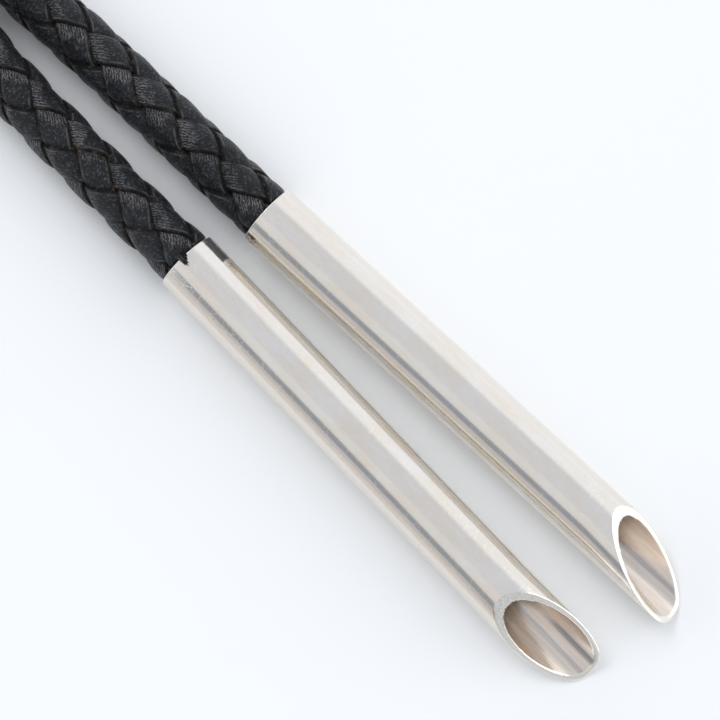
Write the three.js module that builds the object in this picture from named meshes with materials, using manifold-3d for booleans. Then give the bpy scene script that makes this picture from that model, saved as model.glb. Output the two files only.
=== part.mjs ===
/*
 * Bolo tie, laid flat.
 *
 * A round braided leather cord runs from one silver tube tip, through a slide, round the neck,
 * back through the slide and into the other tip. The cord is made in three pieces that meet
 * inside the slide: a tail for each tip, and the neck loop between them.
 *
 * Millimetres, +Z up. Everything lies on the plane Z = 0. The neck loop opens towards +Y and the
 * tips point towards -Y. The origin is under the middle of the whole tie.
 */
import * as THREE from 'three';
import { mergeVertices } from 'three/addons/utils/BufferGeometryUtils.js';
import Module from 'manifold-3d';

// Driving dimensions

const FIT_GAP = 0.3; // between a piece and the one that it fits

const TIP_OUTER = 7.0;
const TIP_WALL = 0.6;
const TIP_MITRE = 12.4; // length of the slanted cut along the tube, up to its sharp point
const TIP_BLUNT = 0.6; // how much of that sharp point is filed off
const TIP_SEGMENTS = 96;

const CORD_DIAMETER = 6.3;
const CORD_SIDES = 12; // an even number
const GLUED_LENGTH = 15; // cord inside a tip, squeezed to fit its bore

const CORD_SPACING = 7.6; // between the two cords inside the slide
const SLIDE_WALL = 1.0;
const SLIDE_LENGTH = 12;
const SLIDE_FRONT = - 142; // Y of the face towards the tips

// Each tip's length along its long side, where its mouth is, how many degrees its axis leans
// outwards, and how far the short side of its slanted end is rolled outwards from straight up.
// Outwards is away from the middle, X = 0.

const TIPS = {
	left: { side: - 1, length: 60.0, mouthX: 4.45, mouthY: - 179.25, lean: 1.55, roll: 20.8 },
	right: { side: 1, length: 59.5, mouthX: 4.89, mouthY: - 181.75, lean: 1.75, roll: 34.5 },
};

// Centre lines of the cords. X is the distance outwards from the middle. A tail starts inside the
// slide and ends at the mouth of its tip, and sinks from the slide's height to the surface.

const TAILS = {
	left: [
		// outwards, Y, Z
		[ 3.8, - 139.3, 4.45 ],
		[ 3.8, - 143, 4.4 ],
		[ 3.9, - 147, 4.0 ],
		[ 4.2, - 152, 3.4 ],
		[ 4.38, - 157, 3.18 ],
		[ 4.45, - 164, 3.15 ],
		[ 4.47, - 171, 3.2 ],
		[ 4.46, - 175.5, 3.38 ],
		[ 4.45, - 178.95, 3.5 ],
	],
	right: [
		// outwards, Y, Z
		[ 3.8, - 139.3, 4.45 ],
		[ 3.8, - 143, 4.4 ],
		[ 3.92, - 147, 4.0 ],
		[ 4.2, - 152, 3.4 ],
		[ 4.45, - 158, 3.18 ],
		[ 4.62, - 166, 3.15 ],
		[ 4.75, - 173, 3.2 ],
		[ 4.83, - 178, 3.38 ],
		[ 4.88, - 181.45, 3.5 ],
	],
};

// Half of the neck loop, from inside the slide, where it meets a tail, to the middle of the nape.
// The other half mirrors it. It leaves the slide straight, opens along a line, and closes in an
// arc of radius 70 round X = 0, Y = 169.

const HALF_LOOP = [
	// outwards, Y, Z
	[ 3.8, - 139, 4.45 ],
	[ 3.8, - 133, 4.45 ],
	[ 3.9, - 127, 4.35 ],
	[ 4.7, - 117, 3.7 ],
	[ 6.6, - 105, 3.2 ],
	[ 9.7, - 90, 3.15 ],
	[ 16.9, - 60, 3.15 ],
	[ 25.3, - 25, 3.15 ],
	[ 34.9, 15, 3.15 ],
	[ 44.5, 55, 3.15 ],
	[ 54.2, 95, 3.15 ],
	[ 61.4, 125, 3.15 ],
	[ 68.0, 152.6, 3.15 ],
	[ 69.5, 177.5, 3.15 ],
	[ 61.8, 201.9, 3.15 ],
	[ 45.9, 221.8, 3.15 ],
	[ 24.5, 234.6, 3.15 ],
	[ 0, 239, 3.15 ],
];

const TAIL_STEPS = 20;
const LOOP_STEPS = 78;

// Materials

const SILVER = { color: 0xd9d4cf, metalness: 1.0, roughness: 0.22 };
const LEATHER = { color: 0x1c1d20, metalness: 0.0, roughness: 0.45 };

const silver = ( name ) => new THREE.MeshStandardMaterial( { ...SILVER, name } );
const leather = ( name ) => new THREE.MeshStandardMaterial( { ...LEATHER, name } );

// Solids: a closed three.js geometry goes in, is joined or cut, and comes out again

const wasm = await Module();
wasm.setup();

function solid( geometry ) {

	const bare = geometry.clone();
	bare.deleteAttribute( 'normal' );
	bare.deleteAttribute( 'uv' );
	const merged = mergeVertices( bare, 1e-4 );
	return new wasm.Manifold( new wasm.Mesh( {
		numProp: 3,
		vertProperties: new Float32Array( merged.attributes.position.array ),
		triVerts: new Uint32Array( merged.index.array ),
	} ) );

}

function geometryOf( manifold ) {

	const mesh = manifold.getMesh();
	const geometry = new THREE.BufferGeometry();
	geometry.setAttribute( 'position', new THREE.BufferAttribute( mesh.vertProperties, 3 ) );
	geometry.setIndex( new THREE.BufferAttribute( mesh.triVerts, 1 ) );
	geometry.computeVertexNormals();
	return geometry;

}

function named( name, geometry, material ) {

	const mesh = new THREE.Mesh( geometry, material );
	mesh.name = name;
	return mesh;

}

// A tip is a tube along +Z from its mouth at Z = 0. A plane slants across its far end, so that
// the +Y side is the short one, and leaves a small flat where the sharp point would be.

function tipGeometry( length ) {

	const outer = TIP_OUTER / 2;
	const inner = outer - TIP_WALL;
	const wall = [
		new THREE.Vector2( inner, 0 ),
		new THREE.Vector2( outer, 0 ),
		new THREE.Vector2( outer, length ),
		new THREE.Vector2( inner, length ),
		new THREE.Vector2( inner, 0 ),
	];
	const tube = new THREE.LatheGeometry( wall, TIP_SEGMENTS );
	tube.rotateX( Math.PI / 2 );

	const blockSide = 3 * TIP_MITRE;
	const block = new THREE.BoxGeometry( blockSide, blockSide, blockSide );
	block.translate( 0, 0, blockSide / 2 );
	block.rotateX( - Math.atan2( TIP_MITRE, TIP_OUTER ) );
	block.translate( 0, 0, length + TIP_BLUNT - TIP_MITRE / 2 );

	return geometryOf( solid( tube ).subtract( solid( block ) ) );

}

// The direction that a tip points in, from its mouth to its far end.

function tipHeading( { side, lean } ) {

	const angle = THREE.MathUtils.degToRad( lean );
	return new THREE.Vector3( side * Math.sin( angle ), - Math.cos( angle ), 0 );

}

function tipMouth( { side, mouthX, mouthY } ) {

	return new THREE.Vector3( side * mouthX, mouthY, TIP_OUTER / 2 );

}

function makeTip( name, place ) {

	const tip = named( name, tipGeometry( place.length ), silver( 'polished sterling silver' ) );
	const roll = THREE.MathUtils.degToRad( place.roll );
	const mouth = tipMouth( place );
	tip.position.copy( mouth );
	tip.up.set( place.side * Math.sin( roll ), 0, Math.cos( roll ) );
	tip.lookAt( mouth.clone().add( tipHeading( place ) ) );
	return tip;

}

// A cord is a round section swept along a smooth curve through its points.

function sweptCord( points, diameter, steps ) {

	const section = new THREE.Shape();
	section.absarc( 0, 0, diameter / 2, 0, 2 * Math.PI, false );
	return new THREE.ExtrudeGeometry( section, {
		curveSegments: CORD_SIDES / 2,
		steps,
		extrudePath: new THREE.CatmullRomCurve3( points, false, 'catmullrom', 0.5 ),
	} );

}

function route( rows, side ) {

	return rows.map( ( [ outwards, y, z ] ) => new THREE.Vector3( side * outwards, y, z ) );

}

// A tail ends in a narrower glued stretch, which starts a little before the mouth of its tip and
// leaves the fit gap all round inside the bore.

function makeTail( name, rows, place ) {

	const heading = tipHeading( place );
	const mouth = tipMouth( place );
	const bore = TIP_OUTER - 2 * TIP_WALL;
	const glued = [ - 2, GLUED_LENGTH / 2, GLUED_LENGTH ].map(
		( depth ) => mouth.clone().addScaledVector( heading, depth )
	);
	const tail = solid( sweptCord( route( rows, place.side ), CORD_DIAMETER, TAIL_STEPS ) );
	const end = solid( sweptCord( glued, bore - 2 * FIT_GAP, 2 ) );
	return named( name, geometryOf( tail.add( end ) ), leather( 'braided leather' ) );

}

function makeNeckLoop() {

	const right = route( HALF_LOOP, 1 );
	const left = route( HALF_LOOP, - 1 ).reverse().slice( 1 );
	const geometry = sweptCord( [ ...right, ...left ], CORD_DIAMETER, LOOP_STEPS );
	return named( 'neck_loop', geometry, leather( 'braided leather' ) );

}

// The slide is a sleeve with two half-round sides and a flat top and bottom, swept along Y.

function stadium( halfHeight ) {

	const outline = new THREE.Shape();
	const centre = CORD_SPACING / 2;
	outline.absarc( centre, 0, halfHeight, - Math.PI / 2, Math.PI / 2, false );
	outline.absarc( - centre, 0, halfHeight, Math.PI / 2, 3 * Math.PI / 2, false );
	outline.closePath();
	return outline;

}

function makeSlide() {

	const holeHalfHeight = CORD_DIAMETER / 2 + FIT_GAP;
	const halfHeight = holeHalfHeight + SLIDE_WALL;
	const sleeve = stadium( halfHeight );
	sleeve.holes.push( stadium( holeHalfHeight ) );
	const geometry = new THREE.ExtrudeGeometry( sleeve, {
		curveSegments: 24,
		depth: SLIDE_LENGTH,
		bevelEnabled: false,
	} );
	const slide = named( 'slide', geometry, silver( 'plain sterling silver' ) );
	slide.rotation.x = - Math.PI / 2;
	slide.position.set( 0, SLIDE_FRONT, halfHeight );
	return slide;

}

const group = new THREE.Group();
group.add( makeTip( 'tip_left', TIPS.left ) );
group.add( makeTip( 'tip_right', TIPS.right ) );
group.add( makeTail( 'tail_left', TAILS.left, TIPS.left ) );
group.add( makeTail( 'tail_right', TAILS.right, TIPS.right ) );
group.add( makeSlide() );
group.add( makeNeckLoop() );

export default group;
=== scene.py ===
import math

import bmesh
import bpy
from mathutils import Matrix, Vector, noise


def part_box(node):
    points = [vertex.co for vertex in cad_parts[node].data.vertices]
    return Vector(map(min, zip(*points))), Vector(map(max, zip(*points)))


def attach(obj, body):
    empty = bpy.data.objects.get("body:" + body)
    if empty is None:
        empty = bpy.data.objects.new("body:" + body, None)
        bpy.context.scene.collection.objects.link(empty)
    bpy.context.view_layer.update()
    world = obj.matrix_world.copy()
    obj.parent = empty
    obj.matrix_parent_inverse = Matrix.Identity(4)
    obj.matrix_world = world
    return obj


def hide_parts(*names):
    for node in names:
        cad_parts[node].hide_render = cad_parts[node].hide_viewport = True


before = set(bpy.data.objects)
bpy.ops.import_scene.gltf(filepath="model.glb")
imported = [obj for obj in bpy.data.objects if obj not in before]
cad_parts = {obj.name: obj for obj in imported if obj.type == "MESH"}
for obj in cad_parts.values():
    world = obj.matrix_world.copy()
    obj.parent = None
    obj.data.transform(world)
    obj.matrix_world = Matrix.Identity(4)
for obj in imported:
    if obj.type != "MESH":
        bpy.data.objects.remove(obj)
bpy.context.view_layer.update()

# A bolo tie lying on a white table: a round braided black leather cord, two hollow silver tube
# tips and a plain silver slide. Metres, in the frame of the CAD model: the tips point towards -Y,
# the neck loop opens towards +Y, and the table is Z = 0.

MM = 0.001


# Small helpers

def linear(hex_color):
    """An sRGB hex value such as "d9d4cf" as linear red, green, blue and alpha."""
    channels = [int(hex_color[k:k + 2], 16) / 255 for k in (0, 2, 4)]
    return [c / 12.92 if c <= 0.04045 else ((c + 0.055) / 1.055) ** 2.4 for c in channels] + [1.0]


def set_inputs(tree, node, inputs):
    """Links or sets a node's inputs. A node that is given as a value means its first output."""
    for key, value in inputs.items():
        if isinstance(value, bpy.types.Node):
            value = value.outputs[0]
        if isinstance(value, bpy.types.NodeSocket):
            tree.links.new(value, node.inputs[key])
        else:
            node.inputs[key].default_value = value


def add(tree, kind, inputs=None, **settings):
    """Adds a node with its settings, and links or sets its inputs."""
    made = tree.nodes.new(kind)
    for name, value in settings.items():
        setattr(made, name, value)
    set_inputs(tree, made, inputs or {})
    return made


# The kinds of node that are used most
MATH = "ShaderNodeMath"
VECTOR_MATH = "ShaderNodeVectorMath"
MAP_RANGE = "ShaderNodeMapRange"


def piece_from(name, mesh, *materials):
    """A new object at the origin with that mesh and those materials."""
    made = bpy.data.objects.new(name, mesh)
    bpy.context.collection.objects.link(made)
    for material in materials:
        mesh.materials.append(material)
    return made


def close_outwards(mesh):
    """Turns the faces of a closed mesh outwards."""
    shape = bmesh.new()
    shape.from_mesh(mesh)
    bmesh.ops.recalc_face_normals(shape, faces=shape.faces)
    shape.to_mesh(mesh)
    shape.free()


def smooth_line(points, per_span):
    """The Catmull-Rom curve through the points, as a list of points."""
    ends = [2 * points[0] - points[1], *points, 2 * points[-1] - points[-2]]
    line = []
    for a, b, c, d in zip(ends, ends[1:], ends[2:], ends[3:]):
        for k in range(per_span):
            t = k / per_span
            line.append(0.5 * (
                2 * b + (c - a) * t + (2 * a - 5 * b + 4 * c - d) * t * t
                + (3 * b - a - 3 * c + d) * t ** 3
            ))
    return line + [points[-1]]


def length_of(line):
    return sum((b - a).length for a, b in zip(line, line[1:]))


# Camera: almost straight down on the tips, along the diagonal of the frame

VIEW_CENTRE = Vector((0.864, -199.436, 3.5)) * MM  # at the height of the tubes' axes
VIEW_WIDTH = 74.7 * MM
VIEW_AZIMUTH = math.radians(-45)
VIEW_ELEVATION = math.radians(80)
LENS = 250
SENSOR = 36


def make_camera():
    data = bpy.data.cameras.new("camera")
    data.lens = LENS
    data.sensor_width = SENSOR
    data.clip_start = 0.01
    data.clip_end = 20
    back = Vector((
        math.sin(VIEW_AZIMUTH) * math.cos(VIEW_ELEVATION),
        -math.cos(VIEW_AZIMUTH) * math.cos(VIEW_ELEVATION),
        math.sin(VIEW_ELEVATION),
    ))
    camera = bpy.data.objects.new("camera", data)
    camera.location = VIEW_CENTRE + back * (VIEW_WIDTH * LENS / SENSOR)
    camera.rotation_euler = (-back).to_track_quat("-Z", "Y").to_euler()
    bpy.context.collection.objects.link(camera)
    bpy.context.scene.camera = camera


# Sizes that the CAD model has too, in metres

CORD_DIAMETER = 6.3 * MM
GLUED_LENGTH = 15 * MM
TIP_OUTER = 7.0 * MM
TIP_WALL = 0.6 * MM
TIP_MITRE = 12.4 * MM
TIP_BLUNT = 0.6 * MM

TIPS = {
    # its side of the middle, its length, how many millimetres outwards and along Y its mouth is, and
    # how many degrees it leans outwards and its short side is rolled outwards
    "left": {"side": -1, "length": 60.0 * MM, "mouth": (4.45, -179.25), "lean": 1.55, "roll": 20.8},
    "right": {"side": 1, "length": 59.5 * MM, "mouth": (4.89, -181.75), "lean": 1.75, "roll": 34.5},
}

# The cords' centre lines in millimetres. A tail runs from inside the slide to the mouth of its tip,
# and half of the neck loop from inside the slide to the middle of the nape.

TAILS = {
    "left": [
        # outwards, Y, Z
        (3.8, -139.3, 4.45),
        (3.8, -143, 4.4),
        (3.9, -147, 4),
        (4.2, -152, 3.4),
        (4.38, -157, 3.18),
        (4.45, -164, 3.15),
        (4.47, -171, 3.2),
        (4.46, -175.5, 3.38),
        (4.45, -178.95, 3.5),
    ],
    "right": [
        # outwards, Y, Z
        (3.8, -139.3, 4.45),
        (3.8, -143, 4.4),
        (3.92, -147, 4),
        (4.2, -152, 3.4),
        (4.45, -158, 3.18),
        (4.62, -166, 3.15),
        (4.75, -173, 3.2),
        (4.83, -178, 3.38),
        (4.88, -181.45, 3.5),
    ],
}

HALF_LOOP = [
    # outwards, Y, Z
    (3.8, -139, 4.45),
    (3.8, -133, 4.45),
    (3.9, -127, 4.35),
    (4.7, -117, 3.7),
    (6.6, -105, 3.2),
    (9.7, -90, 3.15),
    (16.9, -60, 3.15),
    (25.3, -25, 3.15),
    (34.9, 15, 3.15),
    (44.5, 55, 3.15),
    (54.2, 95, 3.15),
    (61.4, 125, 3.15),
    (68, 152.6, 3.15),
    (69.5, 177.5, 3.15),
    (61.8, 201.9, 3.15),
    (45.9, 221.8, 3.15),
    (24.5, 234.6, 3.15),
    (0, 239, 3.15),
]
GLUED_STEPS = 8


def heading_of(tip):
    lean = math.radians(tip["lean"])
    return Vector((tip["side"] * math.sin(lean), -math.cos(lean), 0))


def tip_axes(tip):
    """Where the tip points, the direction of its short side, and the direction across both."""
    heading = heading_of(tip)
    roll = math.radians(tip["roll"])
    up = Vector((tip["side"] * math.sin(roll), 0, math.cos(roll)))
    up = (up - heading * up.dot(heading)).normalized()
    return heading, up, heading.cross(up)


def mouth_of(tip):
    outwards, y = tip["mouth"]
    return Vector((tip["side"] * outwards * MM, y * MM, TIP_OUTER / 2))


def tail_route(name):
    """The tail's centre line from the slide to the end of its glued stretch inside the tip."""
    tip = TIPS[name]
    points = [Vector((tip["side"] * x, y, z)) * MM for x, y, z in TAILS[name]]
    glued = heading_of(tip) * GLUED_LENGTH
    inside = [mouth_of(tip) + glued * k / GLUED_STEPS for k in range(GLUED_STEPS + 1)]
    return smooth_line(points, per_span=12)[:-1] + inside


def loop_route():
    right = [Vector(row) * MM for row in HALF_LOOP]
    left = [Vector((-x, y, z)) * MM for x, y, z in reversed(HALF_LOOP[:-1])]
    return smooth_line(right + left, per_span=10)


# The braid: eight flat leather laces, four wound each way, each passing over one and under one.
# Every lace is a rounded strip laid round the cord. An angle round the cord and a distance along
# it place each point, and its height is a wave that is high where its own lace is on top.

LACE_WIDTH = 3.4 * MM
LACE_THICKNESS = 1.0 * MM
LACE_CROWN = 0.26 * MM  # the middle of a lace stands this much above its edges
LACE_EDGE = 0.38 * MM  # radius of a lace's edges
WEAVE_HEIGHT = 0.36 * MM  # how far a lace rises over and sinks under the middle of the braid
WEAVE_RADIUS = CORD_DIAMETER / 2 - LACE_THICKNESS / 2 - LACE_CROWN - WEAVE_HEIGHT
WRAP_RADIUS = 2.6 * MM  # where a lace's width is measured
LACES = 8
FULLY_UP = 0.85  # share of the wave past which a lace stays fully up or down
CORE_RADIUS = WEAVE_RADIUS - WEAVE_HEIGHT + LACE_THICKNESS / 4
NECK_TAPER = 0.5 * MM  # length over which a cord is squeezed to fit a tip
OPEN_SHARE = 0.4999  # how far from a lace's middle its section is open, as a share of its length
CLOSING_DISTANCE = 0.0005 * MM  # points this near one another are merged, at seams and ends

# Uneven tension: a noise along each lace changes its width and shifts it sideways
TENSION_SCALE = 230.0  # for a metre of cord, so that it changes every few millimetres
TENSION_WIDTH = 0.3  # share of the lace's width
TENSION_SHIFT = 0.5 * MM
TENSION_APART = 7.3  # keeps the laces' noises apart


def braid_nodes():
    """The Geometry Nodes tree that winds a braid along a line of edges. All its inputs are named."""
    tree = bpy.data.node_groups.new("round braid", "GeometryNodeTree")
    face = tree.interface
    face.new_socket("Route", in_out="INPUT", socket_type="NodeSocketGeometry")
    face.new_socket("Braid", in_out="OUTPUT", socket_type="NodeSocketGeometry")
    for name, kind in (
        ("Length", "NodeSocketFloat"),  # along the cord, in metres
        ("Lead", "NodeSocketFloat"),  # length of one turn of a lace
        ("First", "NodeSocketFloat"),  # where along the cord a crossing is
        ("Turn", "NodeSocketFloat"),  # angle of that crossing, in radians
        ("Twist", "NodeSocketFloat"),  # radians per metre
        ("Steps", "NodeSocketInt"),
        ("Sides", "NodeSocketInt"),
        ("Neck", "NodeSocketFloat"),  # where along the cord it narrows
        ("Necked", "NodeSocketFloat"),  # share of its radius past the neck
        ("Seed", "NodeSocketFloat"),
        ("Lace", "NodeSocketMaterial"),
        ("Core", "NodeSocketMaterial"),
    ):
        face.new_socket(name, in_out="INPUT", socket_type=kind)
    given = tree.nodes.new("NodeGroupInput").outputs

    # One flat grid for a lace. Its place on the grid says how far along and how far round it is.
    sides = add(tree, MATH, {0: given["Sides"], 1: 1.0}, operation="ADD")
    grid = add(tree, "GeometryNodeMeshGrid", {
        "Size X": 1.0, "Size Y": 1.0, "Vertices X": given["Steps"], "Vertices Y": sides,
    })
    place = add(tree, VECTOR_MATH, {
        0: add(tree, "GeometryNodeInputPosition"), 1: (0.5, 0.5, 0.0),
    }, operation="ADD")
    strip = add(tree, "GeometryNodeStoreNamedAttribute", {
        "Geometry": grid, "Name": "strip", "Value": place,
    }, data_type="FLOAT_VECTOR", domain="POINT")
    laces = add(tree, "GeometryNodeInstanceOnPoints", {
        "Points": add(tree, "GeometryNodeMeshLine", {"Count": LACES, "Offset": (0, 0, 0)}),
        "Instance": strip,
    })
    numbered = add(tree, "GeometryNodeStoreNamedAttribute", {
        "Geometry": laces, "Name": "lace", "Value": add(tree, "GeometryNodeInputIndex"),
    }, data_type="FLOAT", domain="INSTANCE")
    flat = add(tree, "GeometryNodeRealizeInstances", {"Geometry": numbered})

    lace = add(tree, "GeometryNodeInputNamedAttribute", {"Name": "lace"}, data_type="FLOAT")
    on_strip = add(tree, "ShaderNodeSeparateXYZ", {0: add(
        tree, "GeometryNodeInputNamedAttribute", {"Name": "strip"}, data_type="FLOAT_VECTOR",
    )})

    # The first half of the laces winds one way (+1) and the rest the other way (-1).
    later = add(tree, MATH, {0: lace, 1: LACES / 2 - 0.5}, operation="GREATER_THAN")
    way = add(tree, MATH, {0: later, 1: -2.0, 2: 1.0}, operation="MULTIPLY_ADD")
    start = add(tree, MATH, {0: lace, 1: 4 * math.pi / LACES}, operation="MULTIPLY")
    parity = add(tree, MATH, {0: lace, 1: math.pi}, operation="MULTIPLY")

    # The lace's section is a rounded strip, shrunk to a point at both ends so that it is closed.
    outline = add(tree, "GeometryNodeFilletCurve", {
        "Curve": add(tree, "GeometryNodeCurvePrimitiveQuadrilateral", {
            "Width": LACE_WIDTH, "Height": LACE_THICKNESS,
        }),
        "Count": 6, "Radius": LACE_EDGE, "Limit Radius": True,
    }, mode="POLY")
    section = add(tree, "GeometryNodeSampleCurve", {
        "Curves": outline, "Factor": on_strip.outputs["Y"],
    }, mode="FACTOR", use_all_curves=True)
    from_middle = add(tree, MATH, {
        0: add(tree, MATH, {0: on_strip.outputs["X"], 1: 0.5}, operation="SUBTRACT"),
    }, operation="ABSOLUTE")
    open_here = add(tree, MATH, {0: from_middle, 1: OPEN_SHARE}, operation="LESS_THAN")
    across_up = add(tree, "ShaderNodeSeparateXYZ", {0: add(tree, VECTOR_MATH, {
        0: section.outputs["Position"], "Scale": open_here,
    }, operation="SCALE")})

    # Uneven tension: each lace drifts a little to the side and is a little wider here and there.
    along = add(tree, MATH, {0: on_strip.outputs["X"], 1: given["Length"]}, operation="MULTIPLY")
    apart = add(tree, MATH, {0: lace, 1: TENSION_APART, 2: given["Seed"]}, operation="MULTIPLY_ADD")
    uneven = add(tree, "ShaderNodeSeparateXYZ", {0: add(tree, VECTOR_MATH, {
        0: add(tree, "ShaderNodeTexNoise", {
            "Vector": add(tree, "ShaderNodeCombineXYZ", {0: along, 1: apart}),
            "Scale": TENSION_SCALE, "Detail": 1.0,
        }).outputs["Color"],
        1: (0.5, 0.5, 0.5),
    }, operation="SUBTRACT")})
    stretch = add(tree, MATH, {0: uneven.outputs["X"], 1: TENSION_WIDTH, 2: 1.0},
                  operation="MULTIPLY_ADD")
    width = add(tree, MATH, {0: across_up.outputs["X"], 1: stretch}, operation="MULTIPLY")
    across = add(tree, MATH, {0: uneven.outputs["Y"], 1: TENSION_SHIFT, 2: width},
                 operation="MULTIPLY_ADD")

    # Lay the strip on the cord: sideways on the strip is partly round and partly along the cord.
    pitch = add(tree, MATH, {0: 2 * math.pi, 1: given["Lead"]}, operation="DIVIDE")
    slope = add(tree, MATH, {
        0: add(tree, MATH, {0: pitch, 1: WRAP_RADIUS}, operation="MULTIPLY"),
    }, operation="ARCTANGENT")
    sine = add(tree, MATH, {0: slope}, operation="SINE")
    cosine = add(tree, MATH, {0: slope}, operation="COSINE")
    wound = add(tree, MATH, {0: pitch, 1: way}, operation="MULTIPLY")
    past = add(tree, MATH, {0: along, 1: given["First"]}, operation="SUBTRACT")
    back = add(tree, MATH, {
        0: add(tree, MATH, {0: across, 1: way}, operation="MULTIPLY"), 1: sine,
    }, operation="MULTIPLY")
    distance = add(tree, MATH, {0: past, 1: back}, operation="SUBTRACT")
    round_it = add(tree, MATH, {
        0: add(tree, MATH, {0: across, 1: cosine}, operation="MULTIPLY"),
        1: 1 / WRAP_RADIUS, 2: start,
    }, operation="MULTIPLY_ADD")
    angle = add(tree, MATH, {0: past, 1: wound, 2: round_it}, operation="MULTIPLY_ADD")
    crossing = add(tree, MATH, {0: distance, 1: wound, 2: angle}, operation="MULTIPLY_ADD")

    # Height: up where this lace is on top at the crossing, and down where the other one is.
    phase = add(tree, MATH, {0: crossing, 1: LACES / 4, 2: parity}, operation="MULTIPLY_ADD")
    wave = add(tree, MATH, {0: phase}, operation="COSINE")
    falling = add(tree, MATH, {0: phase}, operation="SINE")
    towards_start = add(tree, MATH, {0: falling, 1: -1.0}, operation="MULTIPLY")
    rise = add(tree, MAP_RANGE, {
        0: add(tree, MATH, {0: wave, 1: way}, operation="MULTIPLY"),
        1: -FULLY_UP, 2: FULLY_UP, 3: -1.0, 4: 1.0,
    }, interpolation_type="SMOOTHSTEP")
    edge_share = add(tree, MATH, {
        0: add(tree, MATH, {0: across_up.outputs["X"], 1: LACE_WIDTH / 2}, operation="DIVIDE"),
        1: 2.0,
    }, operation="POWER")
    crown = add(tree, MATH, {0: edge_share, 1: -LACE_CROWN, 2: LACE_CROWN},
                operation="MULTIPLY_ADD")
    lifted = add(tree, MATH, {0: rise, 1: WEAVE_HEIGHT, 2: crown}, operation="MULTIPLY_ADD")
    thick = add(tree, MATH, {0: across_up.outputs["Y"], 1: lifted}, operation="ADD")
    radius = add(tree, MATH, {0: thick, 1: WEAVE_RADIUS}, operation="ADD")

    # Carry it to the route, with no roll: sideways is level, and up is as near to +Z as it gets.
    at = add(tree, MATH, {0: distance, 1: given["First"]}, operation="ADD")
    line = add(tree, "GeometryNodeMeshToCurve", {"Mesh": given["Route"]})
    route = add(tree, "GeometryNodeSampleCurve", {"Curves": line, "Length": at},
                mode="LENGTH", use_all_curves=True)
    level = add(tree, VECTOR_MATH, {
        0: add(tree, VECTOR_MATH, {0: route.outputs["Tangent"], 1: (0, 0, 1)},
               operation="CROSS_PRODUCT"),
    }, operation="NORMALIZE")
    upright = add(tree, VECTOR_MATH, {0: level, 1: route.outputs["Tangent"]},
                  operation="CROSS_PRODUCT")
    turned = add(tree, MATH, {
        0: distance, 1: given["Twist"],
        2: add(tree, MATH, {0: angle, 1: given["Turn"]}, operation="ADD"),
    }, operation="MULTIPLY_ADD")
    narrowed = add(tree, MAP_RANGE, {
        0: at,
        1: add(tree, MATH, {0: given["Neck"], 1: NECK_TAPER}, operation="SUBTRACT"),
        2: given["Neck"], 3: 1.0, 4: given["Necked"],
    }, interpolation_type="SMOOTHSTEP")
    reach = add(tree, MATH, {0: radius, 1: narrowed}, operation="MULTIPLY")
    spot = route.outputs["Position"]
    for axis, part in ((level, "COSINE"), (upright, "SINE")):
        share = add(tree, MATH, {0: turned}, operation=part)
        step = add(tree, VECTOR_MATH, {
            0: axis, "Scale": add(tree, MATH, {0: reach, 1: share}, operation="MULTIPLY"),
        }, operation="SCALE")
        spot = add(tree, VECTOR_MATH, {0: step, 1: spot}, operation="ADD")

    # What the leather's pattern needs: millimetres along the lace and across it, and how near the
    # end of its showing stretch that faces the route's start (1) or the other end (-1).
    weave = add(tree, "ShaderNodeCombineXYZ", {
        0: add(tree, MATH, {
            0: add(tree, MATH, {0: along, 1: cosine}, operation="DIVIDE"),
            1: 1 / MM,
        }, operation="MULTIPLY"),
        1: add(tree, MATH, {0: across_up.outputs["X"], 1: 1 / MM}, operation="MULTIPLY"),
        2: towards_start,
    })
    kept = add(tree, "GeometryNodeStoreNamedAttribute", {
        "Geometry": flat, "Name": "weave", "Value": weave,
    }, data_type="FLOAT_VECTOR", domain="POINT")
    wound_laces = add(tree, "GeometryNodeSetPosition", {"Geometry": kept, "Position": spot})
    closed = add(tree, "GeometryNodeMergeByDistance", {
        "Geometry": wound_laces, "Distance": CLOSING_DISTANCE,
    })
    laces_done = add(tree, "GeometryNodeSetMaterial", {
        "Geometry": closed, "Material": given["Lace"],
    })

    # A plain core fills the middle, so that no light shows through between the laces.
    core = add(tree, "GeometryNodeCurveToMesh", {
        "Curve": line,
        "Profile Curve": add(tree, "GeometryNodeCurvePrimitiveCircle", {
            "Resolution": 12, "Radius": CORE_RADIUS,
        }),
        "Fill Caps": True,
    })
    core_done = add(tree, "GeometryNodeSetMaterial", {
        "Geometry": core, "Material": given["Core"],
    })
    both = add(tree, "GeometryNodeJoinGeometry")
    tree.links.new(core_done.outputs[0], both.inputs[0])
    tree.links.new(laces_done.outputs[0], both.inputs[0])
    smooth = add(tree, "GeometryNodeSetShadeSmooth", {"Geometry": both})
    ready = add(tree, "GeometryNodeRealizeInstances", {"Geometry": smooth})
    add(tree, "NodeGroupOutput", {"Braid": ready})
    return tree


def braid(name, tree, line, settings):
    """A braid along that line, as a plain mesh object."""
    wire = bpy.data.meshes.new(name + " route")
    wire.from_pydata(line, [(k, k + 1) for k in range(len(line) - 1)], [])
    holder = piece_from(name + " route", wire)
    winder = holder.modifiers.new("braid", "NODES")
    winder.node_group = tree
    sockets = {s.name: s.identifier for s in tree.interface.items_tree if s.in_out == "INPUT"}
    for key, value in settings.items():
        winder[sockets[key]] = value
    graph = bpy.context.evaluated_depsgraph_get()
    mesh = bpy.data.meshes.new_from_object(holder.evaluated_get(graph), depsgraph=graph)
    mesh.name = name
    bpy.data.objects.remove(holder)
    bpy.data.meshes.remove(wire)
    close_outwards(mesh)
    return piece_from(name, mesh)


# How each tail's braid lies. A crossing is given by how far back from the tip's mouth it is and how
# many degrees round the cord. There the laces that wind forwards are on top. An eighth of a lead on
# and an eighth of a turn round, the others are. The twist is in radians a metre.

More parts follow.
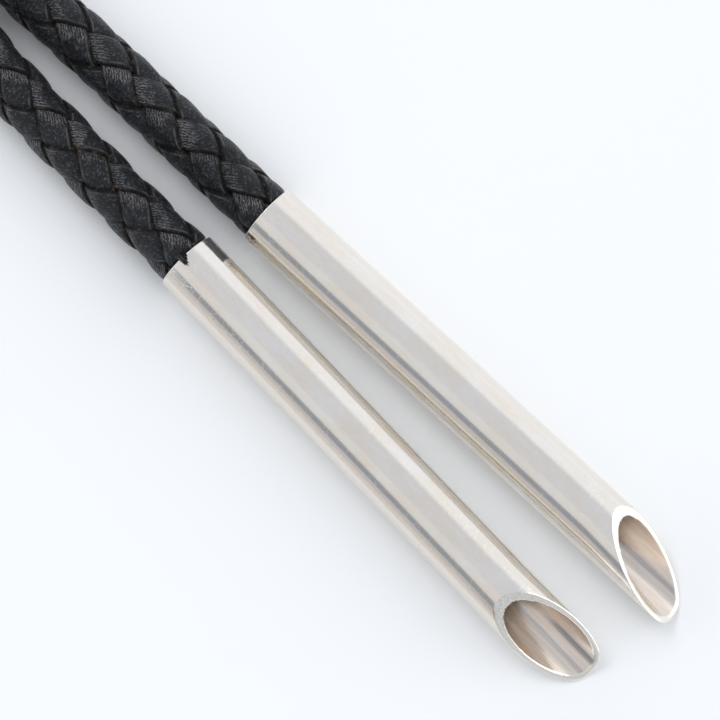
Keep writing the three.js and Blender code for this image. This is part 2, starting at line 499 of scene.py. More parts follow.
BRAIDS = {
    "left": {"lead": 24.6 * MM, "back": 10.025 * MM, "turn": 39, "twist": 0.0, "seed": 3.0},
    "right": {"lead": 26.2 * MM, "back": 4.0 * MM, "turn": 14, "twist": -5.0, "seed": 11.0},
}
TAIL_STEPS = 300
TAIL_SIDES = 32
TAIL_NECKED = 0.91  # share of its radius inside the tip
LOOP_STEPS = 800
LOOP_SIDES = 12
LOOP_SEED = 29.0
NO_NECK = 10.0  # metres, far past the loop's end


def make_tails(tree, lace, core):
    for name in TIPS:
        line = tail_route(name)
        laid = BRAIDS[name]
        mouth_at = length_of(line) - GLUED_LENGTH
        tail = braid("tail_" + name + "_braid", tree, line, {
            "Length": length_of(line), "Lead": laid["lead"], "First": mouth_at - laid["back"],
            "Turn": math.radians(laid["turn"]), "Twist": laid["twist"],
            "Steps": TAIL_STEPS, "Sides": TAIL_SIDES,
            "Neck": mouth_at, "Necked": TAIL_NECKED, "Seed": laid["seed"],
            "Lace": lace, "Core": core,
        })
        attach(tail, "root")
        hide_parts("tail_" + name)


# A torn scrap of lace that sticks out over the rim of the left tip. It is ragged towards the tip.

SCRAP_EDGE = [
    # degrees round the tip, mm past its mouth
    (-22.5, -0.5),
    (-21.0, 0.25),
    (-19.0, 0.15),
    (-17.5, 0.55),
    (-15.5, 0.4),
    (-14.0, 0.9),
    (-12.0, 0.7),
    (-10.5, 1.15),
    (-9.5, 0.75),
    (-7.5, 0.85),
    (-6.0, 0.1),
    (-5.0, -0.5),
]
SCRAP_MIDDLE = (-13.5, -0.1)  # in the same measures
SCRAP_HEIGHT = 0.45 * MM
SCRAP_RINGS = (
    # share of its outline, share of its height: the underside, the rim and the top
    (1.0, 0.03),
    (1.0, 0.6),
    (0.7, 1.0),
)


def make_scrap(lace):
    tip = TIPS["left"]
    heading, up, across = tip_axes(tip)
    mesh = bpy.data.meshes.new("tail_left_scrap")
    middle, root = SCRAP_MIDDLE
    corners = []
    marks = []
    for share, height in SCRAP_RINGS:
        for degrees, past in SCRAP_EDGE:
            angle = math.radians(middle + (degrees - middle) * share)
            along = root + (past - root) * share
            outwards = up * math.cos(angle) + across * math.sin(angle)
            reach = TIP_OUTER / 2 + SCRAP_HEIGHT * height
            corners.append(mouth_of(tip) + heading * along * MM + outwards * reach)
            marks += [along, degrees / 10, 0.2]  # its place on the leather's pattern
    count = len(SCRAP_EDGE)
    faces = [tuple(reversed(range(count))), tuple(range(2 * count, 3 * count))]
    for here in range(2 * count):
        after = here + 1 if (here + 1) % count else here + 1 - count
        faces.append((here, after, after + count, here + count))
    mesh.from_pydata(corners, [], faces)
    mesh.attributes.new("weave", "FLOAT_VECTOR", "POINT").data.foreach_set("vector", marks)
    close_outwards(mesh)
    scrap = piece_from("tail_left_scrap", mesh, lace)
    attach(scrap, "root")


def make_neck_loop(tree, lace, core):
    line = loop_route()
    loop = braid("neck_loop_braid", tree, line, {
        "Length": length_of(line), "Lead": BRAIDS["left"]["lead"], "First": 0.0, "Turn": 0.0,
        "Twist": 0.0, "Steps": LOOP_STEPS, "Sides": LOOP_SIDES, "Neck": NO_NECK, "Necked": 1.0,
        "Seed": LOOP_SEED, "Lace": lace, "Core": core,
    })
    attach(loop, "root")
    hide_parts("neck_loop")


# Silver tubes: a closed ring of wall sections, one for each step round the tube

AROUND = 288
CORNER_STEPS = 5
MOST_OF_A_SIDE = 0.48  # a rounded corner takes no more, so that two never meet


def rounded(before, corner, after, radius):
    """Points that round a corner, from the radius before it to the radius after it."""
    start, end = (
        corner + side.normalized() * min(radius, side.length * MOST_OF_A_SIDE)
        for side in (before - corner, after - corner)
    )
    points = []
    for k in range(CORNER_STEPS):
        t = k / (CORNER_STEPS - 1)
        points.append(start * (1 - t) ** 2 + corner * 2 * t * (1 - t) + end * t * t)
    return points


def wall_section(corners, radii, splits):
    """A closed section with rounded corners. splits says how many points lie between the corners."""
    count = len(corners)
    rounds = [
        rounded(corners[k - 1], corners[k], corners[(k + 1) % count], radii[k]) for k in range(count)
    ]
    section = []
    for k in range(count):
        section += rounds[k]
        start, end = rounds[k][-1], rounds[(k + 1) % count][0]
        section += [start.lerp(end, (j + 1) / (splits[k] + 1)) for j in range(splits[k])]
    return section


def ring_mesh(name, marks, positions, material_at):
    """A closed mesh of wall sections, with a point's position and its mark, which is (round, along,
    outwards) in millimetres. material_at gives the material after each point of a section."""
    rows = len(positions)
    size = len(positions[0])
    faces = []
    for i in range(rows):
        for k in range(size):
            j, m = (i + 1) % rows, (k + 1) % size
            faces.append((i * size + k, j * size + k, j * size + m, i * size + m))
    mesh = bpy.data.meshes.new(name)
    mesh.from_pydata([p for row in positions for p in row], [], faces)
    kept = mesh.attributes.new("tube", "FLOAT_VECTOR", "POINT")
    kept.data.foreach_set("vector", [c for row in marks for mark in row for c in mark])
    for face in mesh.polygons:
        face.material_index = material_at[face.index % size]
        face.use_smooth = True
    close_outwards(mesh)
    return mesh


LIP_RADIUS = 0.12 * MM
INNER_LIP = 0.32 * MM  # the inner lip is scraped smooth, least on the short side
FILED_LIP = 0.5 * MM  # the outer lip is filed round where the cut is sharpest
BLUNT_BLEND = 1.2 * MM  # length over which the slanted cut turns into the blunted end
RIM_RADIUS = 0.06 * MM  # at the mouth
BURR = 0.15 * MM  # unevenness of the inner lip
BORE_SHIFT = {
    # how much thicker the drawn wall is on the short side, and how much thinner on the long side
    "left": (0.08 * MM, 0.14 * MM),
    "right": (0.06 * MM, 0.14 * MM),
}
WALL_SPLITS = (10, 4, 6, 1)  # points along the outside, the cut, the bore and the mouth's rim
POLISHED, FILED, TARNISHED = range(3)  # a tip's materials


def wobble(angle, waves, seed):
    """A smooth random value round the tube, with about that many waves in a turn."""
    spot = Vector((math.cos(angle), math.sin(angle), 0)) * waves / math.pi
    return noise.noise(spot + Vector((0, 0, seed)))


def make_tip(name, seed, materials):
    tip = TIPS[name]
    outer = TIP_OUTER / 2
    inner = outer - TIP_WALL
    heading, up, across = tip_axes(tip)
    mouth = mouth_of(tip)
    thick, thin = BORE_SHIFT[name]

    def cut_at(radius, angle):
        slant = TIP_MITRE / 2 * (1 + radius / outer * math.cos(angle))
        past = TIP_BLUNT - slant  # how far the cut would reach past the blunted end
        blend = max(BLUNT_BLEND - abs(past), 0) / BLUNT_BLEND
        return tip["length"] + min(0, past) - blend * blend * BLUNT_BLEND / 4

    marks = []
    positions = []
    for step in range(AROUND):
        angle = 2 * math.pi * step / AROUND - math.pi
        far = ((1 - math.cos(angle)) / 2) ** 1.5  # 1 at the sharp point, 0 on the short side
        near = ((1 + math.cos(angle)) / 2) ** 2  # the other way round
        # Filed and scraped by hand, so no lip is even
        filed = LIP_RADIUS * (1 + 0.5 * wobble(angle, 30, seed)) + (FILED_LIP - LIP_RADIUS) * far
        burr = BURR * wobble(angle, 75, seed + 5) * (0.03 + 0.97 * near)
        bore = inner - (thick if abs(angle) < math.pi / 2 else thin) * math.cos(angle)
        corners = [
            Vector((outer, 0)),
            Vector((outer, cut_at(outer, angle))),
            Vector((bore + burr, cut_at(bore, angle) - burr)),
            Vector((bore, 0)),
        ]
        inside = INNER_LIP * (1 + 0.15 * wobble(angle, 40, seed + 9)) * (1 - 0.35 * near)
        radii = (RIM_RADIUS, filed, inside, RIM_RADIUS)
        section = wall_section(corners, radii, WALL_SPLITS)
        marks.append([(angle * outer / MM, along / MM, radius / MM) for radius, along in section])
        outwards = up * math.cos(angle) + across * math.sin(angle)
        positions.append([mouth + heading * along + outwards * radius for radius, along in section])

    # The section runs round the mouth's outer lip, along the outside and its lip, the cut face, the
    # inner lip, the bore and its lip, and the mouth's rim
    on_wall, on_cut, on_bore, on_rim = WALL_SPLITS
    lip = CORNER_STEPS - 1
    material_at = (
        [FILED] * lip + [POLISHED] * (on_wall + 1 + lip) + [FILED] * (on_cut + 1)
        + [POLISHED] * lip + [TARNISHED] * (on_bore + 1 + lip) + [FILED] * (on_rim + 1)
    )
    mesh = ring_mesh("tip_" + name + "_tube", marks, positions, material_at)
    tube = piece_from("tip_" + name + "_tube", mesh, *materials)
    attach(tube, "root")
    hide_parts("tip_" + name)


# The slide: a flat-sided sleeve round both cords, with softly rounded rims

SLIDE_WALL = 1.0 * MM
SLIDE_RIM = 0.35 * MM
SLIDE_SPLITS = (6, 1, 6, 1)


def make_slide(material):
    low, high = (Vector(c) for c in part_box("slide"))
    centre = (low + high) / 2
    half_height = (high.z - low.z) / 2
    half_width = (high.x - low.x) / 2
    half_length = (high.y - low.y) / 2
    spread = half_width - half_height  # from the middle to the centre of each round side
    flat = 2 * spread
    round_side = math.pi * half_height
    total = 2 * (flat + round_side)
    section = wall_section([
        Vector((half_height, -half_length)),
        Vector((half_height, half_length)),
        Vector((half_height - SLIDE_WALL, half_length)),
        Vector((half_height - SLIDE_WALL, -half_length)),
    ], [SLIDE_RIM] * 4, SLIDE_SPLITS)
    marks = []
    positions = []
    for step in range(AROUND):
        at = total * step / AROUND
        # The nearest point of the sleeve's flat middle line, and the direction outwards from it
        if at < round_side:
            angle = at / half_height - math.pi / 2
            middle, outwards = Vector((spread, 0)), Vector((math.cos(angle), math.sin(angle)))
        elif at < round_side + flat:
            middle, outwards = Vector((spread - (at - round_side), 0)), Vector((0, 1))
        elif at < 2 * round_side + flat:
            angle = (at - round_side - flat) / half_height + math.pi / 2
            middle, outwards = Vector((-spread, 0)), Vector((math.cos(angle), math.sin(angle)))
        else:
            middle = Vector((at - 2 * round_side - flat - spread, 0))
            outwards = Vector((0, -1))
        marks.append([(at / MM, along / MM, radius / MM) for radius, along in section])
        positions.append([
            centre + Vector((middle.x + outwards.x * radius, along, outwards.y * radius))
            for radius, along in section
        ])
    mesh = ring_mesh("slide_sleeve", marks, positions, [POLISHED] * len(section))
    sleeve = piece_from("slide_sleeve", mesh, material)
    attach(sleeve, "root")
    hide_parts("slide")


# Materials. The marks on the tubes and the laces are in millimetres, so a pattern's scale is how
# many times it repeats in a millimetre.

def start_material(name):
    material = bpy.data.materials.new(name)
    material.use_nodes = True
    tree = material.node_tree
    return material, tree, tree.nodes["Principled BSDF"]


def along_the_tube(tree, at, half_width, soft, place):
    """1 on a streak that runs along the tube at that many degrees round it, and 0 away from it."""
    parts = add(tree, "ShaderNodeSeparateXYZ", {0: place})
    turn = math.pi * TIP_OUTER / MM
    off = add(tree, MATH, {
        0: add(tree, MATH, {
            0: parts.outputs["X"], 1: -turn * at / 360,
        }, operation="ADD"),
        1: turn / 2, 2: -turn / 2,
    }, operation="WRAP")
    away = add(tree, MATH, {0: off}, operation="ABSOLUTE")
    return add(tree, MAP_RANGE, {
        0: away, 1: half_width, 2: half_width + soft, 3: 1.0, 4: 0.0,
    }, interpolation_type="SMOOTHSTEP")


def spot_on_tube(tree, at, size, place, turn=0):
    """1 in the middle of a spot on the tube and 0 outside it. Its place and half-sizes are (round,
    along) in mm, and turn is how many degrees it leans."""
    centred = add(tree, VECTOR_MATH, {0: place, 1: (*at, 0)}, operation="SUBTRACT")
    turned = add(tree, "ShaderNodeMapping", {
        "Vector": centred, "Rotation": (0, 0, math.radians(turn)),
    })
    shaped = add(tree, VECTOR_MATH, {0: turned, 1: (1 / size[0], 1 / size[1], 0)},
                 operation="MULTIPLY")
    away = add(tree, VECTOR_MATH, {0: shaped}, operation="LENGTH")
    return add(tree, MAP_RANGE, {
        0: away.outputs["Value"], 1: 1.0, 2: 0.3, 3: 0.0, 4: 1.0,
    }, interpolation_type="SMOOTHSTEP")


def polished_silver(name, seed=0.0, dulled_and_shaded_bands=(), gouge=None, stain=None):
    """Sterling silver tube, drawn and hand polished. It mirrors the room as bands along the tube.
    Polishing lines run along it, short hairlines cross it, and a thin tarnish warms and hazes it.
    Another seed gives other lines. Each band is (degrees round, half its width in mm, soft edge in
    mm, how much painted shade, how much rougher). Its darker tan colour is painted shade and painted
    reflection, and it is duller where it is rougher. A gouge is (place, half-sizes, degrees that it
    leans) and a stain is (place, half-sizes)."""
    material, tree, shader = start_material(name)
    place = add(tree, "ShaderNodeAttribute", attribute_name="tube").outputs["Vector"]

    # Polishing lines, 0.15 mm apart round the tube and many millimetres long
    lines = add(tree, "ShaderNodeTexNoise", {
        "Vector": add(tree, "ShaderNodeMapping", {
            "Vector": place, "Scale": (6.5, 0.16, 1.0), "Location": (0, 0, seed),
        }),
        "Scale": 1.0, "Detail": 3.0, "Roughness": 0.6,
    })
    # Hairlines about 0.1 mm wide: the tops of stretched noise, turned to three directions
    hairs = []
    for turn, wide, long, cut in (
        (38, 9.0, 0.7, 0.66),
        (-52, 9.0, 0.7, 0.67),
        (80, 9.5, 0.6, 0.66),
    ):
        turned = add(tree, "ShaderNodeMapping", {
            "Vector": place, "Rotation": (0, 0, math.radians(turn)), "Scale": (1, 1, 0),
            "Location": (0, 0, seed),
        })
        fine = add(tree, "ShaderNodeTexNoise", {
            "Vector": add(tree, "ShaderNodeMapping", {"Vector": turned, "Scale": (wide, long, 1.0)}),
            "Scale": 1.0, "Detail": 1.0, "Distortion": 0.3,
        })
        hairs.append(add(tree, MAP_RANGE, {0: fine, 1: cut, 2: cut + 0.1, 3: 0.0, 4: 1.0}))
    crossed = add(tree, MATH, {0: hairs[0], 1: hairs[1]}, operation="MAXIMUM")
    scratches = add(tree, MATH, {0: crossed, 1: hairs[2]}, operation="MAXIMUM")

    # Tarnish in clouds of about 2 mm by 5 mm
    cloud = add(tree, "ShaderNodeTexNoise", {
        "Vector": add(tree, "ShaderNodeMapping", {
            "Vector": place, "Scale": (0.6, 0.2, 1.0), "Location": (0, 0, seed),
        }),
        "Scale": 1.0, "Detail": 5.0, "Roughness": 0.7,
    })
    clouded = add(tree, MAP_RANGE, {0: cloud, 1: 0.38, 2: 0.62, 3: 0.0, 4: 1.0})
    layers = [(clouded, "f6efe4")]
    # Bands along the tube are painted a darker tan: painted shade and painted reflections of the
    # shadowed table and the other tube
    for at, half_width, soft, painted_shade, _ in dulled_and_shaded_bands:
        darkened = add(tree, MATH, {
            0: along_the_tube(tree, at, half_width, soft, place), 1: painted_shade,
        }, operation="MULTIPLY")
        layers.append((darkened, "d5cabf"))
    if stain:  # specks of grime 0.3 mm wide
        grime = add(tree, "ShaderNodeTexNoise", {"Vector": place, "Scale": 3.5, "Detail": 3.0})
        specks = add(tree, MAP_RANGE, {0: grime, 1: 0.44, 2: 0.56, 3: 0.0, 4: 0.9})
        stained = add(tree, MATH, {
            0: specks, 1: spot_on_tube(tree, *stain, place),
        }, operation="MULTIPLY")
        layers.append((stained, "8f7860"))
    colour = linear("f9f6f1")
    for share, over in layers:
        colour = add(tree, "ShaderNodeMix", {
            "Factor": share, "A": colour, "B": linear(over),
        }, data_type="RGBA").outputs["Result"]

    # Nearly a mirror, hazier where it is tarnished and on the lines, and rough on the scratches
    haze = add(tree, MATH, {
        0: add(tree, MAP_RANGE, {0: cloud, 1: 0.35, 2: 0.65, 3: 0.05, 4: 0.09}),
        1: add(tree, MAP_RANGE, {0: lines, 1: 0.4, 2: 0.65, 3: 0.0, 4: 0.05}),
    }, operation="ADD")
    rough = add(tree, MATH, {0: scratches, 1: 0.12, 2: haze}, operation="MULTIPLY_ADD")
    for at, half_width, soft, _, rougher in dulled_and_shaded_bands:
        rough = add(tree, MATH, {
            0: along_the_tube(tree, at, half_width, soft, place), 1: rougher, 2: rough,
        }, operation="MULTIPLY_ADD")
    if gouge:
        at, size, turn = gouge
        rough = add(tree, MATH, {
            0: spot_on_tube(tree, at, size, place, turn), 1: 0.4, 2: rough,
        }, operation="MULTIPLY_ADD")
    low = add(tree, MATH, {0: lines, 1: 0.25}, operation="MULTIPLY")
    height = add(tree, MATH, {0: scratches, 1: 0.8, 2: low}, operation="MULTIPLY_ADD")
    bump = add(tree, "ShaderNodeBump", {"Distance": 0.0035 * MM, "Height": height})
    set_inputs(tree, shader, {
        "Base Color": colour, "Metallic": 0.92, "Roughness": rough, "Normal": bump,
    })
    return material


def filed_silver(name, tarnish=0.0):
    """The slanted cut, filed and sanded: dull, with file marks 0.2 mm apart. Grey tarnish may be
    left near the short side, where a polishing cloth hardly reaches."""
    material, tree, shader = start_material(name)
    place = add(tree, "ShaderNodeAttribute", attribute_name="tube").outputs["Vector"]
    grit = add(tree, "ShaderNodeTexNoise", {
        "Vector": add(tree, "ShaderNodeMapping", {"Vector": place, "Scale": (7.0, 4.5, 7.0)}),
        "Scale": 1.0, "Detail": 3.0, "Roughness": 0.6,
    })
    colour = linear("fbfaf5")
    if tarnish:
        patches = add(tree, MAP_RANGE, {0: grit, 1: 0.4, 2: 0.66, 3: 0.0, 4: 1.0})
        near = add(tree, MATH, {
            0: along_the_tube(tree, 0, 1.5, 5.0, place), 1: tarnish,
        }, operation="MULTIPLY")
        darkened = add(tree, MATH, {0: patches, 1: near}, operation="MULTIPLY")
        colour = add(tree, "ShaderNodeMix", {
            "Factor": darkened, "A": colour, "B": linear("c6cac6"),
        }, data_type="RGBA").outputs["Result"]
    rough = add(tree, MAP_RANGE, {0: grit, 1: 0.3, 2: 0.7, 3: 0.26, 4: 0.42})
    bump = add(tree, "ShaderNodeBump", {"Distance": 0.025 * MM, "Height": grit})
    set_inputs(tree, shader, {
        "Base Color": colour, "Metallic": 0.95, "Roughness": rough, "Normal": bump,
    })
    return material


def tarnished_bore(name, dark_streaks, stain=None):
    """The unpolished inside of the tube: drawing lines along it, 0.3 mm apart, a warm brown tarnish,
    and darker blue-grey streaks. Each streak is (degrees round, half its width in mm, how dark)."""
    material, tree, shader = start_material(name)
    place = add(tree, "ShaderNodeAttribute", attribute_name="tube").outputs["Vector"]
    streaks = add(tree, "ShaderNodeTexNoise", {
        "Vector": add(tree, "ShaderNodeMapping", {"Vector": place, "Scale": (3.0, 0.12, 1.0)}),
        "Scale": 1.0, "Detail": 4.0, "Roughness": 0.65,
    })
    browned = add(tree, MAP_RANGE, {0: streaks, 1: 0.3, 2: 0.75, 3: 0.0, 4: 1.0})
    layers = [(browned, "e4d3c2")]
    frayed = add(tree, MAP_RANGE, {0: streaks, 1: 0.3, 2: 0.55, 3: 0.6, 4: 1.0})
    for at, half_width, dark in dark_streaks:
        mask = add(tree, MATH, {
            0: along_the_tube(tree, at, half_width, 0.45, place), 1: frayed,
        }, operation="MULTIPLY")
        shade = add(tree, MATH, {0: mask, 1: dark}, operation="MULTIPLY")
        layers.append((shade, "8f929b"))
    if stain:
        layers.append((spot_on_tube(tree, *stain, place), "ffe4c8"))
    colour = linear("f4ede5")
    for share, over in layers:
        colour = add(tree, "ShaderNodeMix", {
            "Factor": share, "A": colour, "B": linear(over),
        }, data_type="RGBA").outputs["Result"]
    bump = add(tree, "ShaderNodeBump", {"Distance": 0.006 * MM, "Height": streaks})
    set_inputs(tree, shader, {
        "Base Color": colour, "Metallic": 0.95, "Roughness": 0.24, "Normal": bump,
    })
    return material


PLEAT_SPACING = 0.26  # mm
RIM_INSET = 0.48  # mm from a lace's edge to its worn rim, painted lighter as partly a highlight
GRAIN_APART = 31.7  # keeps the laces' patterns apart


def black_leather():
    """Vegetable-tanned leather lace, dyed black and waxed: a soft sheen on the grain side, partly
    painted as lighter pores, pleats where it is squeezed under its neighbour, painted light grey as
    a highlight, worn rims painted lighter as partly wear and partly a highlight, and bare brown fibre
    on its cut edges."""
    material, tree, shader = start_material("waxed black leather")
    weave = add(tree, "ShaderNodeAttribute", attribute_name="weave").outputs["Vector"]
    strand = add(tree, "ShaderNodeAttribute", attribute_name="lace").outputs["Fac"]
    parts = add(tree, "ShaderNodeSeparateXYZ", {0: weave})
    apart = add(tree, MATH, {0: strand, 1: GRAIN_APART}, operation="MULTIPLY")
    flat = add(tree, "ShaderNodeCombineXYZ", {0: parts.outputs["X"], 1: parts.outputs["Y"], 2: apart})

    # Pores about 0.25 mm apart, and soft dents about 1.4 mm wide
    pores = add(tree, "ShaderNodeTexNoise", {
        "Vector": add(tree, "ShaderNodeMapping", {"Vector": flat, "Scale": (3.6, 4.6, 1.0)}),
        "Scale": 1.0, "Detail": 3.0, "Roughness": 0.65,
    })
    dents = add(tree, "ShaderNodeTexNoise", {"Vector": flat, "Scale": 0.7, "Detail": 1.0})

    # Pleats along the lace, where it comes out from under its neighbour on the slide's side
    folds = add(tree, "ShaderNodeTexWave", {
        "Vector": flat, "Scale": 2 * math.pi / 20 / PLEAT_SPACING,  # it turns 20 radians a unit
        "Distortion": 7.0, "Detail": 2.0, "Detail Scale": 1.8, "Detail Roughness": 0.6,
    }, wave_type="BANDS", bands_direction="Y")
    own_share = add(tree, "ShaderNodeTexWhiteNoise", {"W": strand}, noise_dimensions="1D")
    squeezed = add(tree, MAP_RANGE, {
        0: add(tree, MATH, {0: dents, 1: 1.7, 2: parts.outputs["Z"]}, operation="MULTIPLY_ADD"),
        1: 0.95, 2: 1.65, 3: 0.0,
        4: add(tree, MAP_RANGE, {
            0: own_share.outputs["Value"], 1: 0.0, 2: 1.0, 3: 0.5, 4: 1.1,
        }),
    })
    uneven_folds = add(tree, MATH, {
        0: folds.outputs["Fac"],
        1: add(tree, MAP_RANGE, {0: pores, 1: 0.35, 2: 0.6, 3: 0.35, 4: 1.0}),
    }, operation="MULTIPLY")
    pleated = add(tree, MATH, {0: uneven_folds, 1: squeezed}, operation="MULTIPLY")

    # A worn rim a little inside each cut edge, here and there. It is raised and painted lighter:
    # partly wear and partly a painted highlight along the edge.
    off_middle = add(tree, MATH, {0: parts.outputs["Y"]}, operation="ABSOLUTE")
    edge = LACE_WIDTH / 2 / MM
    from_rim = add(tree, MATH, {
        0: add(tree, MATH, {0: off_middle, 1: edge - RIM_INSET}, operation="SUBTRACT"),
    }, operation="ABSOLUTE")
    rim = add(tree, MAP_RANGE, {0: from_rim, 1: 0.03, 2: 0.12, 3: 1.0, 4: 0.0})
    worn_and_highlit_rim = add(tree, MATH, {
        0: rim, 1: add(tree, MAP_RANGE, {0: dents, 1: 0.42, 2: 0.6, 3: 0.0, 4: 1.0}),
    }, operation="MULTIPLY")

    height = add(tree, MATH, {0: pleated, 1: 0.22, 2: pores}, operation="MULTIPLY_ADD")
    height = add(tree, MATH, {0: dents, 1: 1.9, 2: height}, operation="MULTIPLY_ADD")
    height = add(tree, MATH, {0: worn_and_highlit_rim, 1: 0.3, 2: height}, operation="MULTIPLY_ADD")
    bump = add(tree, "ShaderNodeBump", {"Distance": 0.3 * MM, "Height": height})

    grain = add(tree, MAP_RANGE, {0: dents, 1: 0.3, 2: 0.7, 3: 0.0, 4: 1.0})
    colour = add(tree, "ShaderNodeMix", {
        "Factor": grain, "A": linear("07090b"), "B": linear("141a1f"),
    }, data_type="RGBA").outputs["Result"]
    # Painted sheen: the pores are painted a lighter blue-grey
    painted_pore_sheen = add(tree, MAP_RANGE, {0: pores, 1: 0.52, 2: 0.72, 3: 0.0, 4: 0.8})
    # Painted highlight: the pleats, on the end of each lace that faces the lamp, are painted light
    # grey
    painted_pleat_highlight = add(tree, MAP_RANGE, {0: pleated, 1: 0.12, 2: 0.8, 3: 0.0, 4: 0.9})
    # The rim is painted lighter: partly wear and partly a painted highlight along the edge
    rim_wear_and_highlight = add(tree, MATH, {0: worn_and_highlit_rim, 1: 0.5}, operation="MULTIPLY")

    # The cut edges: nearly black, with brown fibre in patches about 1 mm long
    ragged = add(tree, MATH, {0: pores, 1: 0.6, 2: off_middle}, operation="MULTIPLY_ADD")
    raw = add(tree, MAP_RANGE, {0: ragged, 1: edge - 0.08, 2: edge + 0.04, 3: 0.0, 4: 1.0})
    patchy = add(tree, "ShaderNodeTexNoise", {
        "Vector": flat, "Scale": 1.1, "Detail": 4.0, "Roughness": 0.85,
    })
    tufts = add(tree, MAP_RANGE, {0: patchy, 1: 0.53, 2: 0.68, 3: 0.0, 4: 1.0})
    fibre = add(tree, "ShaderNodeMix", {
        "Factor": tufts, "A": linear("080707"), "B": linear("524336"),
    }, data_type="RGBA").outputs["Result"]
    for share, over in (
        (painted_pore_sheen, linear("595b61")),
        (painted_pleat_highlight, linear("7a777a")),
        (rim_wear_and_highlight, linear("6a6a66")),
        (raw, fibre),
    ):
        colour = add(tree, "ShaderNodeMix", {
            "Factor": share, "A": colour, "B": over,
        }, data_type="RGBA").outputs["Result"]
    rough = add(tree, MAP_RANGE, {0: raw, 1: 0.0, 2: 1.0, 3: 0.30, 4: 0.85})
    set_inputs(tree, shader, {
        "Base Color": colour, "Roughness": rough, "Normal": bump,
        "Specular IOR Level": 0.26,  # the wax is thin and worn
    })
    return material


def dark_core():
    """The braid's filler cord, seen only as black between the laces."""
    material, tree, shader = start_material("black cotton core")
    set_inputs(tree, shader, {"Base Color": linear("0a0908"), "Roughness": 0.9})
    return material


def white_table():
    """A smooth white board with a faint cool cast."""
    material, tree, shader = start_material("white lacquered board")
    set_inputs(tree, shader, {
        "Base Color": linear("f7f9fa"), "Roughness": 0.7, "Specular IOR Level": 0.2,
    })
    return material


TABLE_HALF = 4.0  # metres


def make_table():
    half = TABLE_HALF
    mesh = bpy.data.meshes.new("table")
    corners = [(-half, -half, 0), (half, -half, 0), (half, half, 0), (-half, half, 0)]
    mesh.from_pydata(corners, [], [(0, 1, 2, 3)])
    table = piece_from("table", mesh, white_table())


# Light: a white tent whose panels show in the silver as bands, with two brighter windows, and one
# soft lamp behind the tips

TENT = [
    # degrees round from +X over the top to -X, red, green, blue
    (0, 0.86, 0.87, 0.90),
    (42, 0.86, 0.87, 0.90),
    (55, 0.61, 0.63, 0.68),
    (110, 0.62, 0.63, 0.67),
    (119, 0.69, 0.69, 0.71),
    (143, 0.67, 0.67, 0.68),
    (149.5, 0.27, 0.29, 0.33),
    (163, 0.25, 0.27, 0.31),
    (170, 0.50, 0.51, 0.53),
    (180, 0.68, 0.69, 0.72),
]
TENT_FRONT = (0.57, 0.58, 0.60)  # its wall towards -Y
TENT_BACK = (1.15, 1.17, 1.22)  # its wall towards +Y
TENT_ENDS = (0.3, 0.6)  # size of a direction's Y at which these walls start and are full
TENT_WINDOWS = (
    # towards its middle, cosines of the angles from there at which it starts and is full, strength
    (Vector((0.60, -0.70, 0.40)).normalized(), 0.71, 0.83, 0.9),
    (Vector((-0.75, 0.60, 0.28)).normalized(), 0.91, 0.98, 0.6),
)
LAMP_TARGET = Vector((0, -0.2, 0))
LAMP_FROM = Vector((0.05, 0.70, 0.71)).normalized()
LAMP_DISTANCE = 0.9
LAMP_SIZE = 0.42
LAMP_WATTS = 1.3


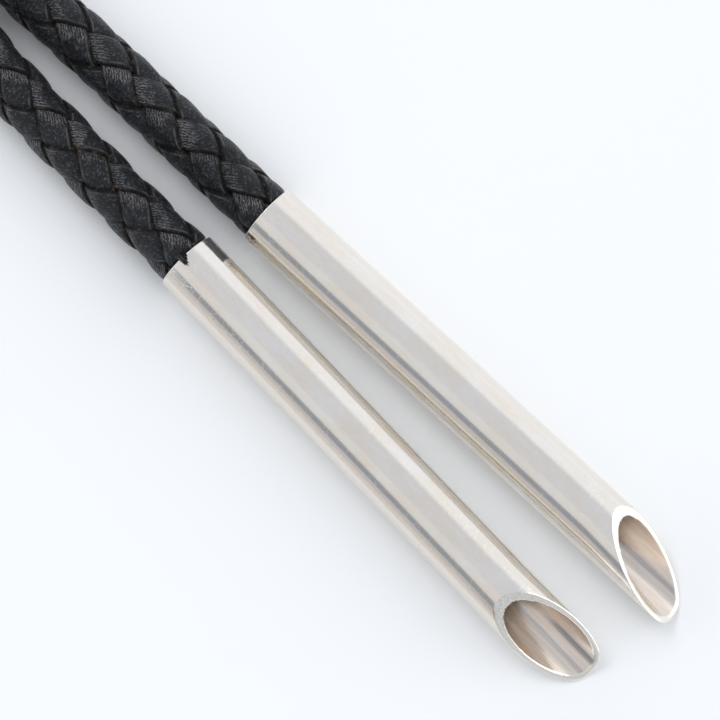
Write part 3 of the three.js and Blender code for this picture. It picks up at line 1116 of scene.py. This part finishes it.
def make_light():
    world = bpy.data.worlds.new("white tent")
    bpy.context.scene.world = world
    world.use_nodes = True
    tree = world.node_tree
    background = tree.nodes["Background"]
    direction = add(tree, "ShaderNodeTexCoord").outputs["Generated"]
    axes = add(tree, "ShaderNodeSeparateXYZ", {0: direction})
    angle = add(tree, MATH, {0: axes.outputs["Z"], 1: axes.outputs["X"]}, operation="ARCTAN2")
    panels = add(tree, "ShaderNodeValToRGB", {
        "Fac": add(tree, MATH, {0: angle, 1: math.pi}, operation="DIVIDE"),
    })
    ramp = panels.color_ramp
    while len(ramp.elements) < len(TENT):
        ramp.elements.new(0.5)
    for element, (degrees, red, green, blue) in zip(ramp.elements, TENT):
        element.position = degrees / 180
        element.color = (red, green, blue, 1)
    endways = add(tree, MAP_RANGE, {
        0: add(tree, MATH, {0: axes.outputs["Y"]}, operation="ABSOLUTE"),
        1: TENT_ENDS[0], 2: TENT_ENDS[1], 3: 0.0, 4: 1.0,
    }, interpolation_type="SMOOTHSTEP")
    far_end = add(tree, MATH, {0: axes.outputs["Y"], 1: 0.0}, operation="GREATER_THAN")
    ends = add(tree, "ShaderNodeMix", {
        "Factor": far_end, "A": (*TENT_FRONT, 1.0), "B": (*TENT_BACK, 1.0),
    }, data_type="RGBA").outputs["Result"]
    lit = add(tree, "ShaderNodeMix", {
        "Factor": endways, "A": panels.outputs["Color"], "B": ends,
    }, data_type="RGBA").outputs["Result"]
    for towards, some, full, strength in TENT_WINDOWS:
        facing = add(tree, VECTOR_MATH, {0: direction, 1: towards}, operation="DOT_PRODUCT")
        window = add(tree, MAP_RANGE, {
            0: facing.outputs["Value"], 1: some, 2: full, 3: 0.0, 4: strength,
        }, interpolation_type="SMOOTHSTEP")
        lit = add(tree, VECTOR_MATH, {0: lit, 1: window}, operation="ADD")
    tree.links.new(lit.outputs[0], background.inputs["Color"])

    data = bpy.data.lights.new("soft lamp", "AREA")
    data.shape = "DISK"
    data.size = LAMP_SIZE
    data.energy = LAMP_WATTS
    lamp = bpy.data.objects.new("soft lamp", data)
    lamp.location = LAMP_TARGET + LAMP_FROM * LAMP_DISTANCE
    lamp.rotation_euler = LAMP_FROM.to_track_quat("Z", "Y").to_euler()
    lamp.visible_camera = False
    bpy.context.collection.objects.link(lamp)
    bpy.context.scene.view_settings.view_transform = "Standard"


make_camera()
weaver = braid_nodes()
leather = black_leather()
core = dark_core()
make_tails(weaver, leather, core)
make_neck_loop(weaver, leather, core)
make_tip("left", 3.0, (
    polished_silver(
        "polished sterling silver",
        seed=4.3,
        # the bands' darker colour is painted shade and painted reflection, and their roughness is
        # real
        dulled_and_shaded_bands=((31, 0.1, 0.55, 0.95, 0.05), (52, 0.9, 0.9, 0.4, 0.1)),
        gouge=((1.0, 2.5), (0.06, 0.75), -25.6),
    ),
    filed_silver("filed sterling silver, left", tarnish=0.9),
    tarnished_bore(
        "tarnished bore, left",
        dark_streaks=((165, 0.08, 0.35), (-166, 0.12, 0.4)),
        stain=((6.2, 53.2), (0.8, 1.1)),
    ),
))
make_scrap(leather)
make_tip("right", 20.0, (
    polished_silver(
        "polished sterling silver, soiled",
        # the bands' darker colour is painted shade and painted reflection, and their roughness is
        # real
        dulled_and_shaded_bands=(
            (-36, 1.4, 0.6, 0.28, 0.0),
            (86, 0.1, 0.5, 0.5, 0.0),
            (118, 0.9, 0.5, 0.1, 0.25),
        ),
        stain=((6.4, 0.7), (1.2, 1.5)),
    ),
    filed_silver("filed sterling silver, right"),
    tarnished_bore("tarnished bore, right", dark_streaks=((-138, 0.1, 0.45), (-150, 0.5, 0.15))),
))
make_slide(polished_silver("polished sterling silver, slide"))
make_table()
make_light()
